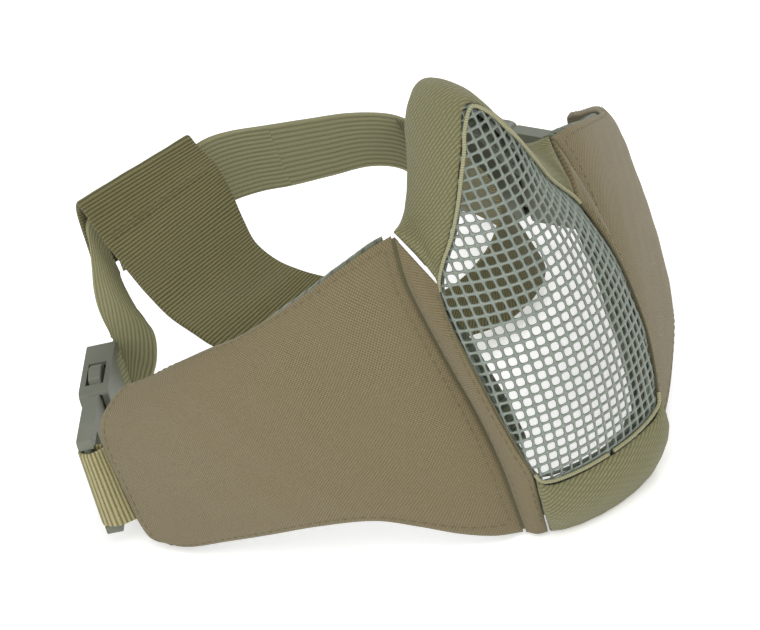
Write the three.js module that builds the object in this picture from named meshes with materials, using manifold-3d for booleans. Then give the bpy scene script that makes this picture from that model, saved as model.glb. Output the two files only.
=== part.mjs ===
// Lower-face mesh mask: a domed wire-mesh front in a padded fabric frame, two
// padded cheek wings that fold at a sewn seam, and an elastic two-band harness
// clipped on by side-release buckles.
// Millimetres. +Z up, the front faces -Y, the wearer's right is -X.
// The origin is on the flat underside of the chin band, at its front centre.
import * as THREE from 'three';
import { mergeVertices } from 'three/addons/utils/BufferGeometryUtils.js';
import Module from 'manifold-3d';

const wasm = await Module();
wasm.setup();

// ---------------------------------------------------------------- dimensions
const MESH_T = 1.2;            // wire mesh thickness
const SHELL_T = 1.4;           // outer cheek cloth
const FOAM_T = 3.4;            // cheek padding
const LINING_T = 1.6;          // spacer-mesh lining
const LAYER_GAP = 0.35;        // air between sewn layers
const TRIM_CROWN = 1.1;        // extra height at the middle of a trim
const BIND_R = 0.85;           // piping along the mesh opening
const WIRE_R = 0.5;            // wire hemmed behind the mesh edge
const SEAM_GAP = 1.1;          // open gap of each fold seam
const TAB_W = 26;              // webbing tab height
const STRAP_T = 1.5;           // narrow elastic thickness
const STRAP_W = 25;            // narrow elastic width
const BAND_T = 1.7;            // wide elastic thickness
const BUCKLE_Z = 22.5;         // height of each buckle's centre line
const TAB_BAR = [96.4, 118.4]; // plan position of the tab bar, left side
const BAR_R = 1.5;             // radius of the tab bar
const BAR_X = 55.3;            // strap bar, along the buckle from the tab bar
const TAB_T = 1.2;             // webbing thickness
const NEAR_YAW = Math.atan2(0.77, 0.637);   // buckle direction, right side
const FAR_YAW = Math.atan2(0.98, -0.20);    // buckle direction, left side

// Centre line of the mesh dome: y at height z.
const DOME = [[0, -1.5], [10, -5.2], [20, -5.8], [28, -7.2], [38, -8.2], [48, -8.1],
  [60, -6.6], [75, -3.0], [90, 2.2], [105, 8.2], [117, 12.4], [128, 16.3], [140, 21]];
// Side edge of the mesh opening: height, half width, y.
const EDGE = [[14, 20.5, 0.2], [22, 22.4, -1.9], [26.2, 23.8, -1.4], [35.4, 25.6, -0.4],
  [44.8, 27.0, 1.3], [52.8, 27.6, 3.5], [61, 28.0, 6.2], [67.7, 28.0, 9.3], [73.9, 27.5, 12.5],
  [79, 26.6, 15.0], [84, 25.0, 16.5], [88.8, 21.9, 16.7], [94.6, 18.0, 15.6], [103.5, 13.8, 14.3],
  [112.4, 10.0, 13.9], [117.6, 7.3, 14.2], [123, 4.6, 15.2], [128, 1.6, 16.5]];
// Opening outline from the right bottom corner, over the nose, left side shown.
const OPEN_TOP = [[25.0, 16.5, 84], [21.9, 16.7, 88.8], [18.0, 15.6, 94.6], [13.8, 14.3, 103.5],
  [10.0, 13.9, 112.4], [7.3, 14.2, 117.6], [4.8, 15.0, 122.6], [2.6, 16.0, 126.4], [0, 16.4, 127.8]];
const NOSE_OUT = [[28.7, 26.4, 100.1], [24.2, 29.5, 99.6], [19.6, 32.6, 101.0], [16.2, 33.6, 105.7],
  [13.6, 34.6, 110.6], [11.2, 36.4, 114.9], [8.9, 38.2, 119.0], [6.5, 39.2, 123.0], [4.1, 39.2, 126.6],
  [2.1, 38.8, 129.0], [0, 38.5, 129.9]];
const OPEN_BOT = [[23.4, -1.6, 25], [22.2, -2.7, 22.2], [19.5, -3.8, 20.9], [15, -4.7, 20.3],
  [8, -5.5, 20], [0, -5.8, 19.9]];
const CHIN_OUT = [[20.0, 5.6, 0], [17.6, 3.0, 0], [13.2, 0.4, 0], [9, -1.0, 0], [4.5, -1.9, 0],
  [0, -2.2, 0]];
// Front strip: front edge over the mesh, and the fold seam behind it.
const STRIP_FRONT = [[19.9, 4.8, 1.2], [21.9, 1.0, 13], [23.5, -1.6, 25.2], [25.6, -0.4, 35.4],
  [27.0, 1.3, 44.8], [27.6, 3.5, 52.8], [28.0, 6.2, 61], [28.0, 9.3, 67.7], [27.5, 12.5, 73.9],
  [26.6, 15.0, 79], [25.1, 16.4, 83.8]];
const SEAM = [[24.2, 9.9, 1.0], [25.6, 8.6, 14], [26.3, 8.7, 26.1], [27.6, 11.3, 43.4],
  [29.6, 15.6, 61], [30.9, 20, 77.2], [31.2, 22.6, 86], [30.5, 24.3, 93.2], [29.0, 26.2, 99.4]];
// Cheek wing outline, left side: top edge, rear edge, bottom edge.
const WING_TOP = [[29.2, 26.3, 100.0], [38.2, 28.7, 98.5], [48.2, 34.6, 94.1], [56.2, 41.2, 89.1],
  [63.4, 48.6, 84.3], [70.2, 58.3, 78.6], [74.2, 65.6, 75.6], [78.2, 74.6, 71.2], [82.9, 88.8, 63.6],
  [85.6, 98.5, 59.2]];
const WING_REAR = [[88.6, 104.6, 2.0], [91.0, 108.8, 3.6], [91.9, 110.3, 7.5], [92.7, 111.5, 16],
  [93.3, 112.3, 26], [93.9, 113.2, 35.9], [93.6, 112.8, 42], [92.4, 110.7, 47], [90.2, 107.2, 52],
  [87.9, 103.2, 56.3], [85.6, 98.5, 59.2]];
const WING_BOT = [[24.4, 10.0, 1.2], [32.4, 13.6, 3.2], [40.4, 18.4, 7.0], [49.2, 24.8, 12.6],
  [57.6, 32.4, 17.0], [68.0, 47.0, 16.2], [75.4, 62.0, 12.4], [81.6, 79.4, 7.2], [86.2, 95.6, 2.2],
  [88.6, 104.6, 2.0]];
// Elastic harness: two long edges of each ribbon.
const RUN_A = [[-46, 163.2, 80.0], [-30, 163.2, 80.2], [-9.5, 163.2, 80.9], [-3, 163.2, 80.8], [4.9, 163.6, 78.8],
  [18.3, 165, 73.4], [34.7, 167, 66.6], [51.3, 168.5, 59.6], [66, 170, 51.0], [73.5, 171.0, 44.0], [79.2, 171.6, 36.6]];
const RUN_B = [[-45, 163.2, 55.6], [-30, 163.2, 55.8], [-7.4, 163.2, 56.8], [-1.5, 163.2, 57.0], [9.0, 163.6, 54.6],
  [20.6, 165, 50.0], [37.3, 167, 44.2], [52.5, 168.5, 39.0], [64.1, 170, 31.4], [71.5, 171.0, 21.5], [79.2, 171.6, 11.4]];
const LEG_A = [[-54.5, 163.7, 34.8], [-55.6, 164.6, 40.4], [-56.2, 165.2, 48], [-55.6, 165.0, 55],
  [-54.3, 164.2, 62], [-53.2, 163.4, 69], [-52.0, 163.2, 76], [-48.0, 163.2, 79.9]];
const LEG_B = [[-54.5, 163.7, 10.2], [-50.8, 160.4, 17], [-47.2, 156.2, 26.5], [-45.9, 154.8, 36.5],
  [-47.4, 158.0, 44.5], [-47.8, 160.6, 50.5], [-47.4, 162.4, 54.4], [-46.8, 163.2, 55.6]];
const BAND_A = [[-52.5, 166.2, 58], [-52.5, 166.2, 71], [-52.5, 165.6, 80], [-52.5, 163.3, 83.6],
  [-52.5, 160.8, 81.4], [-52.7, 157, 77.0], [-52.8, 152.6, 72.6], [-53.3, 143, 65.5],
  [-53.7, 135, 60.7], [-52.8, 127, 54.4], [-51.1, 119, 50.3], [-48.6, 113, 45.8], [-36.2, 106, 35.5],
  [-16.2, 102, 23], [6.5, 99, 14.4], [25.5, 98, 10.8], [42.3, 99, 6.6], [57.9, 103, 6.3],
  [70.0, 112, 6.8], [76.0, 128, 8], [78.0, 145, 10], [78.0, 158, 11.5], [78.0, 168.9, 12.5]];
const BAND_B = [[-9.0, 166.2, 58.8], [-9.0, 166.2, 72], [-9.0, 165.6, 80.9], [-9.0, 163.3, 84.4],
  [-9.0, 160.8, 82.4], [-8.4, 157.4, 79.4], [-8.5, 153, 76.5], [-10.2, 146, 70.1],
  [-12.7, 139, 62.8], [-14.6, 132, 57.5], [-13.1, 124, 52.6], [-10.3, 117, 49.9], [-2.9, 110, 44.6],
  [9.9, 106, 34.9], [26.6, 105, 25.2], [41, 105, 26.4], [53.0, 109, 29.0], [61.5, 115, 33.0],
  [66.5, 124, 37.5], [68.5, 136, 42.0], [68.4, 150, 46.5], [67.2, 160, 49.0], [66.2, 167.7, 49.5]];

// ---------------------------------------------------------------- helpers
const V = (p) => new THREE.Vector3(p[0], p[1], p[2]);
const curve = (pts) => new THREE.CatmullRomCurve3(pts.map(V), false, 'centripetal');
const mirror = (pts) => pts.map((p) => [-p[0], p[1], p[2]]);

// Both halves of an outline given from one side to the centre.
function both(pts) {
  const right = mirror(pts);
  const left = pts.slice(0, -1).reverse();
  return right.concat(left);
}

// Value at t of a table of [t, a, b...] rows, with smooth joins.
function table(rows, t) {
  const n = rows.length;
  if (t <= rows[0][0]) return rows[0].slice(1);
  if (t >= rows[n - 1][0]) return rows[n - 1].slice(1);
  let i = 0;
  while (rows[i + 1][0] < t) i++;
  const a = rows[i], b = rows[i + 1], h = b[0] - a[0], u = (t - a[0]) / h;
  const out = [];
  for (let k = 1; k < a.length; k++) {
    const slope = (j) => {
      const p = rows[Math.max(0, j - 1)], q = rows[Math.min(n - 1, j + 1)];
      return (q[k] - p[k]) / (q[0] - p[0]);
    };
    const m0 = slope(i) * h, m1 = slope(i + 1) * h, u2 = u * u, u3 = u2 * u;
    out.push((2 * u3 - 3 * u2 + 1) * a[k] + (u3 - 2 * u2 + u) * m0 + (3 * u2 - 2 * u3) * b[k] + (u3 - u2) * m1);
  }
  return out;
}

// Closed solid whose box coordinates (0..1 each) are mapped by f(u, v, w).
function warp(nu, nv, nw, f) {
  let g = new THREE.BoxGeometry(1, 1, 1, nu, nv, nw);
  g.deleteAttribute('normal');
  g.deleteAttribute('uv');
  g = mergeVertices(g, 1e-5);
  const p = g.attributes.position;
  for (let i = 0; i < p.count; i++) {
    const q = f(p.getX(i) + 0.5, p.getY(i) + 0.5, p.getZ(i) + 0.5);
    p.setXYZ(i, q.x, q.y, q.z);
  }
  const idx = Array.from(g.index.array);
  let vol = 0;
  const a = new THREE.Vector3(), b = new THREE.Vector3(), c = new THREE.Vector3();
  for (let i = 0; i < idx.length; i += 3) {
    a.fromBufferAttribute(p, idx[i]); b.fromBufferAttribute(p, idx[i + 1]); c.fromBufferAttribute(p, idx[i + 2]);
    vol += a.dot(b.cross(c));
  }
  if (vol < 0) for (let i = 0; i < idx.length; i += 3) [idx[i], idx[i + 1]] = [idx[i + 1], idx[i]];
  g.setIndex(idx);
  return g;
}

// Thick sheet on a surface: s(u, v) is the outer face, and d0(u,v)..d1(u,v) the
// depths below it along the inward normal. The normal points away from inside.
function sheet(nu, nv, s, inside, d0, d1) {
  const e = 1e-3;
  const depth = (d, u, v) => (typeof d === 'function' ? d(u, v) : d);
  return warp(nu, nv, 1, (u, v, w) => {
    const p = s(u, v);
    const u0 = Math.max(0, u - e), u1 = Math.min(1, u + e), v0 = Math.max(0, v - e), v1 = Math.min(1, v + e);
    const n = s(u1, v).sub(s(u0, v)).cross(s(u, v1).sub(s(u, v0))).normalize();
    if (n.dot(p.clone().sub(inside)) < 0) n.negate();
    return p.addScaledVector(n, -(depth(d0, u, v) * (1 - w) + depth(d1, u, v) * w));
  });
}

// Ribbon between two long edge curves, centred on their surface.
function ribbon(A, B, t, nu, nv, u0 = 0, u1 = 1, v0 = 0, v1 = 1) {
  const a = curve(A), b = curve(B), e = 1e-3;
  const s = (u, v) => {
    const uu = Math.min(1, Math.max(0, u0 + (u1 - u0) * u));
    return a.getPoint(uu).lerp(b.getPoint(uu), v0 + (v1 - v0) * v);
  };
  return warp(nu, nv, 1, (u, v, w) => {
    const p = s(u, v);
    const n = s(Math.min(1, u + e), v).sub(s(Math.max(0, u - e), v))
      .cross(s(u, Math.min(1, v + e)).sub(s(u, Math.max(0, v - e)))).normalize();
    return p.addScaledVector(n, (w - 0.5) * t);
  });
}

function solid(g) {
  let m = g.clone();
  m.deleteAttribute('normal'); m.deleteAttribute('uv');
  m = mergeVertices(m, 1e-4);
  const mesh = new wasm.Mesh({ numProp: 3, vertProperties: new Float32Array(m.attributes.position.array),
    triVerts: new Uint32Array(m.index.array) });
  return new wasm.Manifold(mesh);
}
function geometry(man) {
  const m = man.getMesh();
  const g = new THREE.BufferGeometry();
  g.setAttribute('position', new THREE.BufferAttribute(new Float32Array(m.vertProperties), 3));
  g.setIndex(Array.from(m.triVerts));
  return g;
}
const box = (x0, x1, y0, y1, z0, z1) => {
  const g = new THREE.BoxGeometry(x1 - x0, y1 - y0, z1 - z0);
  g.translate((x0 + x1) / 2, (y0 + y1) / 2, (z0 + z1) / 2);
  return g;
};

const root = new THREE.Group();
function add(name, g, colour, roughness, metalness, parent = root) {
  const m = new THREE.Mesh(g, new THREE.MeshStandardMaterial({ color: colour, roughness, metalness }));
  m.name = name;
  parent.add(m);
  return m;
}
const TAN = 0x8c7b5c, GREEN = 0x7d7d52, OLIVE = 0x645f32, WEB = 0x73764f, LINING = 0x4b553c,
  WIRE = 0x7a847b, PLASTIC = 0x6b7062, FOAM = 0x3c3f36, TABC = 0x8a7f55;

// ---------------------------------------------------------------- front
// Dome surface at half width x and height z; d is the depth behind it.
function domeY(x, z) {
  const [yc] = table(DOME, z);
  const [xe, ye] = table(EDGE, z);
  return yc + (ye - yc) * Math.pow(Math.abs(x) / Math.max(xe, 4), 2.1);
}
function dome(x, z) { return new THREE.Vector3(x, domeY(x, z), z); }
const MIDDLE = new THREE.Vector3(0, 60, 60);

// Point at depth d behind the dome along its normal.
function behind(x, z, d) {
  const e = 0.05, n = new THREE.Vector3(domeY(x + e, z) - domeY(x - e, z), -2 * e, domeY(x, z + e) - domeY(x, z - e));
  return dome(x, z).addScaledVector(n.normalize(), -d);
}

// The wire mesh runs a little way under the trims all round.
const meshHalf = (z) => Math.max(2.6, table(EDGE, z)[0] + 0.5 - 0.22 * Math.max(0, 25 - z));
add('mesh_panel', sheet(16, 18, (u, v) => {
  const z = 18.7 + v * (128.8 - 18.7), k = Math.abs(2 * u - 1);
  const p = dome((2 * u - 1) * meshHalf(z), z);
  p.y += 0.35 * Math.max(0, (k - 0.8) / 0.2);
  return p;
}, MIDDLE, 0, MESH_T), WIRE, 0.5, 0.8);

// Padded band between an inner and an outer outline, crowned in the middle.
function band(inner, outer, nu, nv, d0, d1, k0, k1) {
  const a = curve(inner), b = curve(outer);
  return sheet(nu, nv, (u, v) => a.getPoint(u).lerp(b.getPoint(u), k0 + (k1 - k0) * v), MIDDLE, d0, d1);
}
const OPEN_TOP2 = both(OPEN_TOP), NOSE_OUT2 = both(NOSE_OUT);
add('nose_trim', band(OPEN_TOP2, NOSE_OUT2, 30, 5,
  (u, v) => -1.9 - TRIM_CROWN * Math.sin(Math.PI * v), (u, v) => (v < 0.3 ? -0.85 : 1.1), 0.15, 1), GREEN, 0.95, 0);
// The padding thins out where the arch pinches over the nose.
const pinch = (a, b) => (u) => a + (b - a) * Math.exp(-(((u - 0.5) / 0.075) ** 2));
add('nose_foam', band(OPEN_TOP2, NOSE_OUT2, 44, 4, pinch(2.2, 1.3), pinch(3.6, 1.5), 0.26, 0.72), FOAM, 0.95, 0);
add('nose_lining', band(OPEN_TOP2, NOSE_OUT2, 44, 4, pinch(4.4, 1.85), pinch(5.0, 2.1), 0.26, 0.72), LINING, 0.95, 0);

// Chin band: rolls forward from the opening and stands on a flat underside.
const openBot = curve(both(OPEN_BOT)), chinOut = curve(both(CHIN_OUT));
function chinPoint(u, v, k) {
  const p = openBot.getPoint(u).lerp(chinOut.getPoint(u), v);
  p.x *= k;
  return p;
}
add('chin_trim', warp(22, 6, 1, (u, v, w) => {
  const k = 0.09 + 0.91 * v, p = chinPoint(0.005 + 0.99 * u, k, 0.955);
  const out = new THREE.Vector3(p.x * 0.045, -1, -0.10).normalize();
  const front = 1.5 + 2.9 * Math.sin(Math.PI * Math.min(1, k * 1.06));
  const back = v < 0.3 ? 0.7 : -2.2 - 2.4 * v;
  p.addScaledVector(out, front * (1 - w) + back * w);
  if (v > 0.999) p.z = 0;
  return p;
}), GREEN, 0.95, 0);
add('chin_foam', warp(18, 2, 1, (u, v, w) => {
  const p = chinPoint(0.04 + 0.92 * u, 0.30 + 0.60 * v, 0.90);
  p.y += 5.6 + 0.9 * v + w * 2.4;
  return p;
}), FOAM, 0.95, 0);
add('chin_lining', warp(18, 2, 1, (u, v, w) => {
  const p = chinPoint(0.04 + 0.92 * u, 0.26 + 0.68 * v, 0.86);
  p.y += 8.7 + 0.9 * v + w * 1.2;
  return p;
}), LINING, 0.95, 0);

// Round cord along the mesh edge; its two ends meet under the chin.
function cord(r, offset, steps) {
  const side = OPEN_BOT.slice().reverse().map((p) => [p[0], p[2]])
    .concat(EDGE.filter((q) => q[0] > 27 && q[0] < 127).map((q) => [q[1], q[0]]));
  side[0][0] = r * 0.5 + 0.3;
  const pts = side.map((q) => behind(q[0], q[1], offset));
  const top = behind(0, 127.6, offset);
  const all = pts.concat([top], pts.slice().reverse().map((p) => new THREE.Vector3(-p.x, p.y, p.z)));
  const sh = new THREE.Shape();
  sh.absarc(0, 0, r, 0, Math.PI * 2, false);
  return geometry(solid(new THREE.ExtrudeGeometry(sh, { steps, curveSegments: 3, bevelEnabled: false,
    extrudePath: new THREE.CatmullRomCurve3(all, false, 'centripetal') })));
}
add('rim_wire', cord(WIRE_R, MESH_T + 0.65 + WIRE_R, 46), WIRE, 0.45, 0.85);
add('opening_binding', cord(BIND_R, -(0.5 + BIND_R), 46), 0x9a9a6a, 0.9, 0);

// ---------------------------------------------------------------- front strips
const stripF = curve(STRIP_FRONT), seam = curve(SEAM);
const stripSurface = (u, v) => {
  const p = stripF.getPoint(v).lerp(seam.getPoint(v), u);
  return p;
};
function frontStrip(side) {
  const flip = (p) => { p.x *= side; return p; };
  const name = side < 0 ? 'right' : 'left';
  const inside = new THREE.Vector3(0, 60, 50);
  const make = (nu, nv, d0, d1, u0, u1, v0, v1) => {
    const g = sheet(nu, nv, (u, v) => stripSurface(u0 + (u1 - u0) * u, v0 + (v1 - v0) * v), inside, d0, d1);
    return mirrorGeometry(g, side);
  };
  // outer cloth, standing proud of the mesh, then the padding and lining behind
  add(name + '_front_strip', make(3, 18, (u) => -1.9 - 0.7 * Math.sin(Math.PI * Math.min(1, u * 1.15)), (u) => -0.8 * (1 - u), 0.20, 1.0, 0.0, 0.972), TAN, 0.95, 0);
  add(name + '_strip_padding', make(2, 12, 2.7, 3.9, 0.28, 0.74, 0.30, 0.62), FOAM, 0.95, 0);
  add(name + '_strip_lining', make(2, 12, 4.2, 5.0, 0.28, 0.74, 0.30, 0.60), LINING, 0.95, 0);
}
// Copy of a closed geometry reflected in the centre plane, faces kept outward.
function mirrorGeometry(g, side) {
  if (side > 0) return g;
  const m = g.clone(), p = m.attributes.position, idx = Array.from(m.index.array);
  for (let i = 0; i < p.count; i++) p.setX(i, -p.getX(i));
  for (let i = 0; i < idx.length; i += 3) [idx[i], idx[i + 1]] = [idx[i + 1], idx[i]];
  m.setIndex(idx);
  return m;
}
frontStrip(-1);
frontStrip(1);

// ---------------------------------------------------------------- cheek wings
const wTop = curve(WING_TOP), wRear = curve(WING_REAR), wBot = curve(WING_BOT);
const wingPoint = (u, v) => {
  const c0 = seam.getPoint(v), c1 = wRear.getPoint(v), b = wBot.getPoint(u), t = wTop.getPoint(u);
  const p00 = wBot.getPoint(0), p10 = wBot.getPoint(1), p01 = wTop.getPoint(0), p11 = wTop.getPoint(1);
  const q = new THREE.Vector3();
  q.addScaledVector(c0, 1 - u).addScaledVector(c1, u).addScaledVector(b, 1 - v).addScaledVector(t, v);
  q.addScaledVector(p00, -(1 - u) * (1 - v)).addScaledVector(p10, -u * (1 - v));
  q.addScaledVector(p01, -(1 - u) * v).addScaledVector(p11, -u * v);
  return q;
};
function wing(side) {
  const name = side < 0 ? 'right' : 'left';
  const inside = new THREE.Vector3(-20, 90, 40);
  const make = (nu, nv, d0, d1, u0, u1, v0, v1) => mirrorGeometry(
    sheet(nu, nv, (u, v) => wingPoint(u0 + (u1 - u0) * u, v0 + (v1 - v0) * v), inside, d0, d1), side);
  const uGap = SEAM_GAP / 105;
  add(name + '_cheek_shell', make(16, 10, (u, v) => -0.9 * Math.sin(Math.PI * u) * Math.sin(Math.PI * v), () => SHELL_T - 0.2, uGap, 1, 0, 1), TAN, 0.95, 0);
  add(name + '_cheek_foam', make(11, 6, SHELL_T + LAYER_GAP, SHELL_T + LAYER_GAP + FOAM_T, 0.055, 0.86, 0.05, 0.95), FOAM, 0.95, 0);
  const l0 = SHELL_T + 2 * LAYER_GAP + FOAM_T + 0.45;
  add(name + '_cheek_lining', make(13, 7, l0, l0 + LINING_T, 0.075, 0.955, 0.02, 0.985), LINING, 0.95, 0);
}
wing(-1);
wing(1);

// ---------------------------------------------------------------- buckles
// Local frame: x along the buckle from the tab bar to the strap bar, z along its
// width (vertical), y through its thickness.
function roundedPlate(x0, x1, z0, z1, r, y0, y1) {
  const s = new THREE.Shape();
  s.moveTo(x0 + r, z0); s.lineTo(x1 - r, z0); s.quadraticCurveTo(x1, z0, x1, z0 + r);
  s.lineTo(x1, z1 - r); s.quadraticCurveTo(x1, z1, x1 - r, z1);
  s.lineTo(x0 + r, z1); s.quadraticCurveTo(x0, z1, x0, z1 - r);
  s.lineTo(x0, z0 + r); s.quadraticCurveTo(x0, z0, x0 + r, z0);
  const g = new THREE.ExtrudeGeometry(s, { depth: y1 - y0, bevelEnabled: false, curveSegments: 4 });
  g.rotateX(Math.PI / 2);           // shape y -> z, depth -> -y
  g.translate(0, y1, 0);
  return g;
}
function plugGeometry() {
  let m = solid(roundedPlate(-1.6, 24.6, -16.8, 16.8, 1.4, -2.4, 2.4));
  m = m.subtract(solid(box(-6, 8.0, -6, 6, -13.6, 13.6)));       // window for the webbing
  const bar = new THREE.CylinderGeometry(BAR_R, BAR_R, 28.4, 12);
  bar.rotateX(Math.PI / 2);
  m = m.add(solid(bar));                                         // round tab bar
  m = m.subtract(solid(box(12.5, 14, -6, -1.7, -11, 11)));       // grip grooves
  m = m.subtract(solid(box(16.5, 18, -6, -1.7, -11, 11)));
  m = m.add(solid(box(24, 42, -1.5, 1.5, -2.2, 2.2)));           // guide tongue
  return geometry(m);
}
function prongGeometry(sign) {
  const s = new THREE.Shape();
  const pts = [[25.0, 8.4], [31, 8.8], [37, 9.6], [43, 9.2], [44.6, 10.2], [43.2, 13.4], [42.4, 16.8],
    [38.6, 18.2], [33.6, 17.2], [32.4, 14.2], [29, 12.2], [25.0, 12.0]];
  s.moveTo(pts[0][0], pts[0][1]);
  for (const p of pts.slice(1)) s.lineTo(p[0], p[1]);
  s.closePath();
  const g = new THREE.ExtrudeGeometry(s, { depth: 4.0, bevelEnabled: false });
  g.rotateX(Math.PI / 2);
  g.translate(0, 2.0, 0);
  let m = geometry(solid(g));
  if (sign < 0) {
    const p = m.attributes.position, idx = Array.from(m.index.array);
    for (let i = 0; i < p.count; i++) p.setZ(i, -p.getZ(i));
    for (let i = 0; i < idx.length; i += 3) [idx[i], idx[i + 1]] = [idx[i + 1], idx[i]];
    m.setIndex(idx);
  }
  return m;
}
function socketGeometry() {
  let m = solid(roundedPlate(26.4, 57, -16.4, 16.4, 2.6, -4.6, 4.6));
  m = m.subtract(solid(box(26, 46.6, -2.6, 2.6, -15.0, 15.0)));   // hollow, open at the mouth
  m = m.subtract(solid(box(31.4, 44.2, -2.8, 2.8, -20, 20)));     // side windows for the pads
  m = m.subtract(solid(box(48.9, 53.6, -8, 8, -13.3, 13.3)));     // strap slot
  m = m.subtract(solid(box(53.0, 58, 1.5, 8, -13.3, 13.3)));      // thin strap bar
  m = m.subtract(solid(box(53.0, 58, -8, -1.5, -13.3, 13.3)));
  return geometry(m);
}
function buckle(side) {
  const name = side < 0 ? 'right' : 'left';
  const g = new THREE.Group();
  g.position.set(side * TAB_BAR[0], TAB_BAR[1], BUCKLE_Z);
  g.rotation.z = side < 0 ? NEAR_YAW : FAR_YAW;
  root.add(g);
  add(name + '_buckle_plug', plugGeometry(), PLASTIC, 0.5, 0, g);
  add(name + '_upper_prong', prongGeometry(1), PLASTIC, 0.5, 0, g);
  add(name + '_lower_prong', prongGeometry(-1), PLASTIC, 0.5, 0, g);
  add(name + '_buckle_socket', socketGeometry(), PLASTIC, 0.5, 0, g);
}
buckle(-1);
buckle(1);

// Webbing tab: leaves the rear of the wing between shell and lining, goes round
// the tab bar and comes back.
const rearAt = (z) => table(WING_REAR.slice(1, 7).map((p) => [p[2], p[0], p[1]]), z);
const WING_DIR = new THREE.Vector2(0.50, 0.866);
function tab(side) {
  const name = side < 0 ? 'right' : 'left';
  const dir = WING_DIR, inw = new THREE.Vector2(-dir.y, dir.x);   // inw: towards the inside
  const bar = new THREE.Vector2(TAB_BAR[0], TAB_BAR[1]);
  const r = BAR_R + 0.4 + TAB_T / 2;
  const line = (z) => {
    const e = new THREE.Vector2(...rearAt(z));
    const at = (a, c) => e.clone().addScaledVector(dir, a).addScaledVector(inw, c);
    const rel = bar.clone().sub(e), ahead = rel.dot(dir), across = rel.dot(inw);
    const pts = [at(-3.6, 2.6), at(-0.5, 2.6), at(ahead * 0.6, across - r * 0.55 - 0.9)];
    for (let k = 0; k <= 6; k++) {
      const t = -1.35 + 2.7 * k / 6;
      pts.push(at(ahead + r * Math.cos(t), across + r * Math.sin(t)));
    }
    pts.push(at(ahead * 0.6, across + r * 0.55 + 0.9), at(-0.5, 4.2), at(-3.6, 4.2));
    return new THREE.CatmullRomCurve3(pts.map((p) => new THREE.Vector3(p.x, p.y, 0)), false, 'centripetal');
  };
  const z0 = BUCKLE_Z - TAB_W / 2, rows = 2;
  const lines = [];
  for (let k = 0; k <= rows; k++) lines.push(line(z0 + TAB_W * k / rows));
  const g = warp(24, rows, 1, (u, v, w) => {
    const c = lines[Math.round(v * rows)], p = c.getPoint(u), q = c.getTangent(u);
    p.x += -q.y * (w - 0.5) * TAB_T;
    p.y += q.x * (w - 0.5) * TAB_T;
    p.z = z0 + TAB_W * v;
    return p;
  });
  add(name + '_webbing_tab', mirrorGeometry(g, side), TABC, 0.95, 0);
}
tab(-1);
tab(1);

// ---------------------------------------------------------------- harness
// Turn of the narrow elastic round the strap bar; it leaves in direction (dx, dy).
function strapLoop(side, dx, dy, reach) {
  const yaw = side < 0 ? NEAR_YAW : FAR_YAW;
  const cx = side * TAB_BAR[0] + BAR_X * Math.cos(yaw), cy = TAB_BAR[1] + BAR_X * Math.sin(yaw);
  const l = Math.hypot(dx, dy), fx = dx / l, fy = dy / l, r = 3.3;
  const at = (a, c) => new THREE.Vector3(cx + a * fx - c * fy, cy + a * fy + c * fx, 0);
  const pts = [at(reach, 1.0), at(reach * 0.72, 1.45), at(2.4, 3.0)];
  for (let k = 0; k <= 6; k++) {
    const t = 1.25 + (2 * Math.PI - 2.5) * k / 6;
    pts.push(at(r * Math.cos(t), r * Math.sin(t)));
  }
  pts.push(at(2.4, -3.0), at(reach * 0.72, -1.45), at(reach, -1.0));
  const c = new THREE.CatmullRomCurve3(pts, false, 'centripetal');
  const g = warp(24, 1, 1, (u, v, w) => {
    const p = c.getPoint(u), q = c.getTangent(u);
    p.x += -q.y * (w - 0.5) * 1.25;
    p.y += q.x * (w - 0.5) * 1.25;
    p.z = BUCKLE_Z + (v - 0.5) * (STRAP_W - 0.4);
    return p;
  });
  add((side < 0 ? 'right' : 'left') + '_strap_loop', g, WEB, 0.95, 0);
}
strapLoop(-1, 0.91, 0.41, 6.2);
strapLoop(1, -1, -0.12, 5.6);
add('right_strap_leg', ribbon(LEG_A, LEG_B, STRAP_T, 16, 2), WEB, 0.95, 0);
add('head_strap', ribbon(RUN_A, RUN_B, STRAP_T, 22, 2), WEB, 0.95, 0);
add('nape_band', ribbon(BAND_A, BAND_B, BAND_T, 54, 3), OLIVE, 0.95, 0);

export default root;
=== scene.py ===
import bpy, math
import numpy as np
from mathutils import Matrix, Vector


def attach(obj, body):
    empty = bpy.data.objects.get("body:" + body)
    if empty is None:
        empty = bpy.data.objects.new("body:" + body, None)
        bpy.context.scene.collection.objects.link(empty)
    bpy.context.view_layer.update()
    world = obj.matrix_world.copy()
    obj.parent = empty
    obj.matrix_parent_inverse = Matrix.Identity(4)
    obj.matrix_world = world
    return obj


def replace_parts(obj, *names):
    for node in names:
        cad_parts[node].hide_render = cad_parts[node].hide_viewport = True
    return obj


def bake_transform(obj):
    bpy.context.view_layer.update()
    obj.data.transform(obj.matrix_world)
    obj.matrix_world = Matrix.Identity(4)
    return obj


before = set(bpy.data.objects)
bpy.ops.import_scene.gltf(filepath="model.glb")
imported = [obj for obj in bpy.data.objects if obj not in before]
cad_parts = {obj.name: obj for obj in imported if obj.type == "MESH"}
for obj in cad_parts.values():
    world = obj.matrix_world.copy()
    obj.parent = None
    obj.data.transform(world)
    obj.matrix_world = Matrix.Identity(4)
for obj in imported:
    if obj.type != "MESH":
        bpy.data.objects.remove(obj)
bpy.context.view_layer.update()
MM = 0.001

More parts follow.
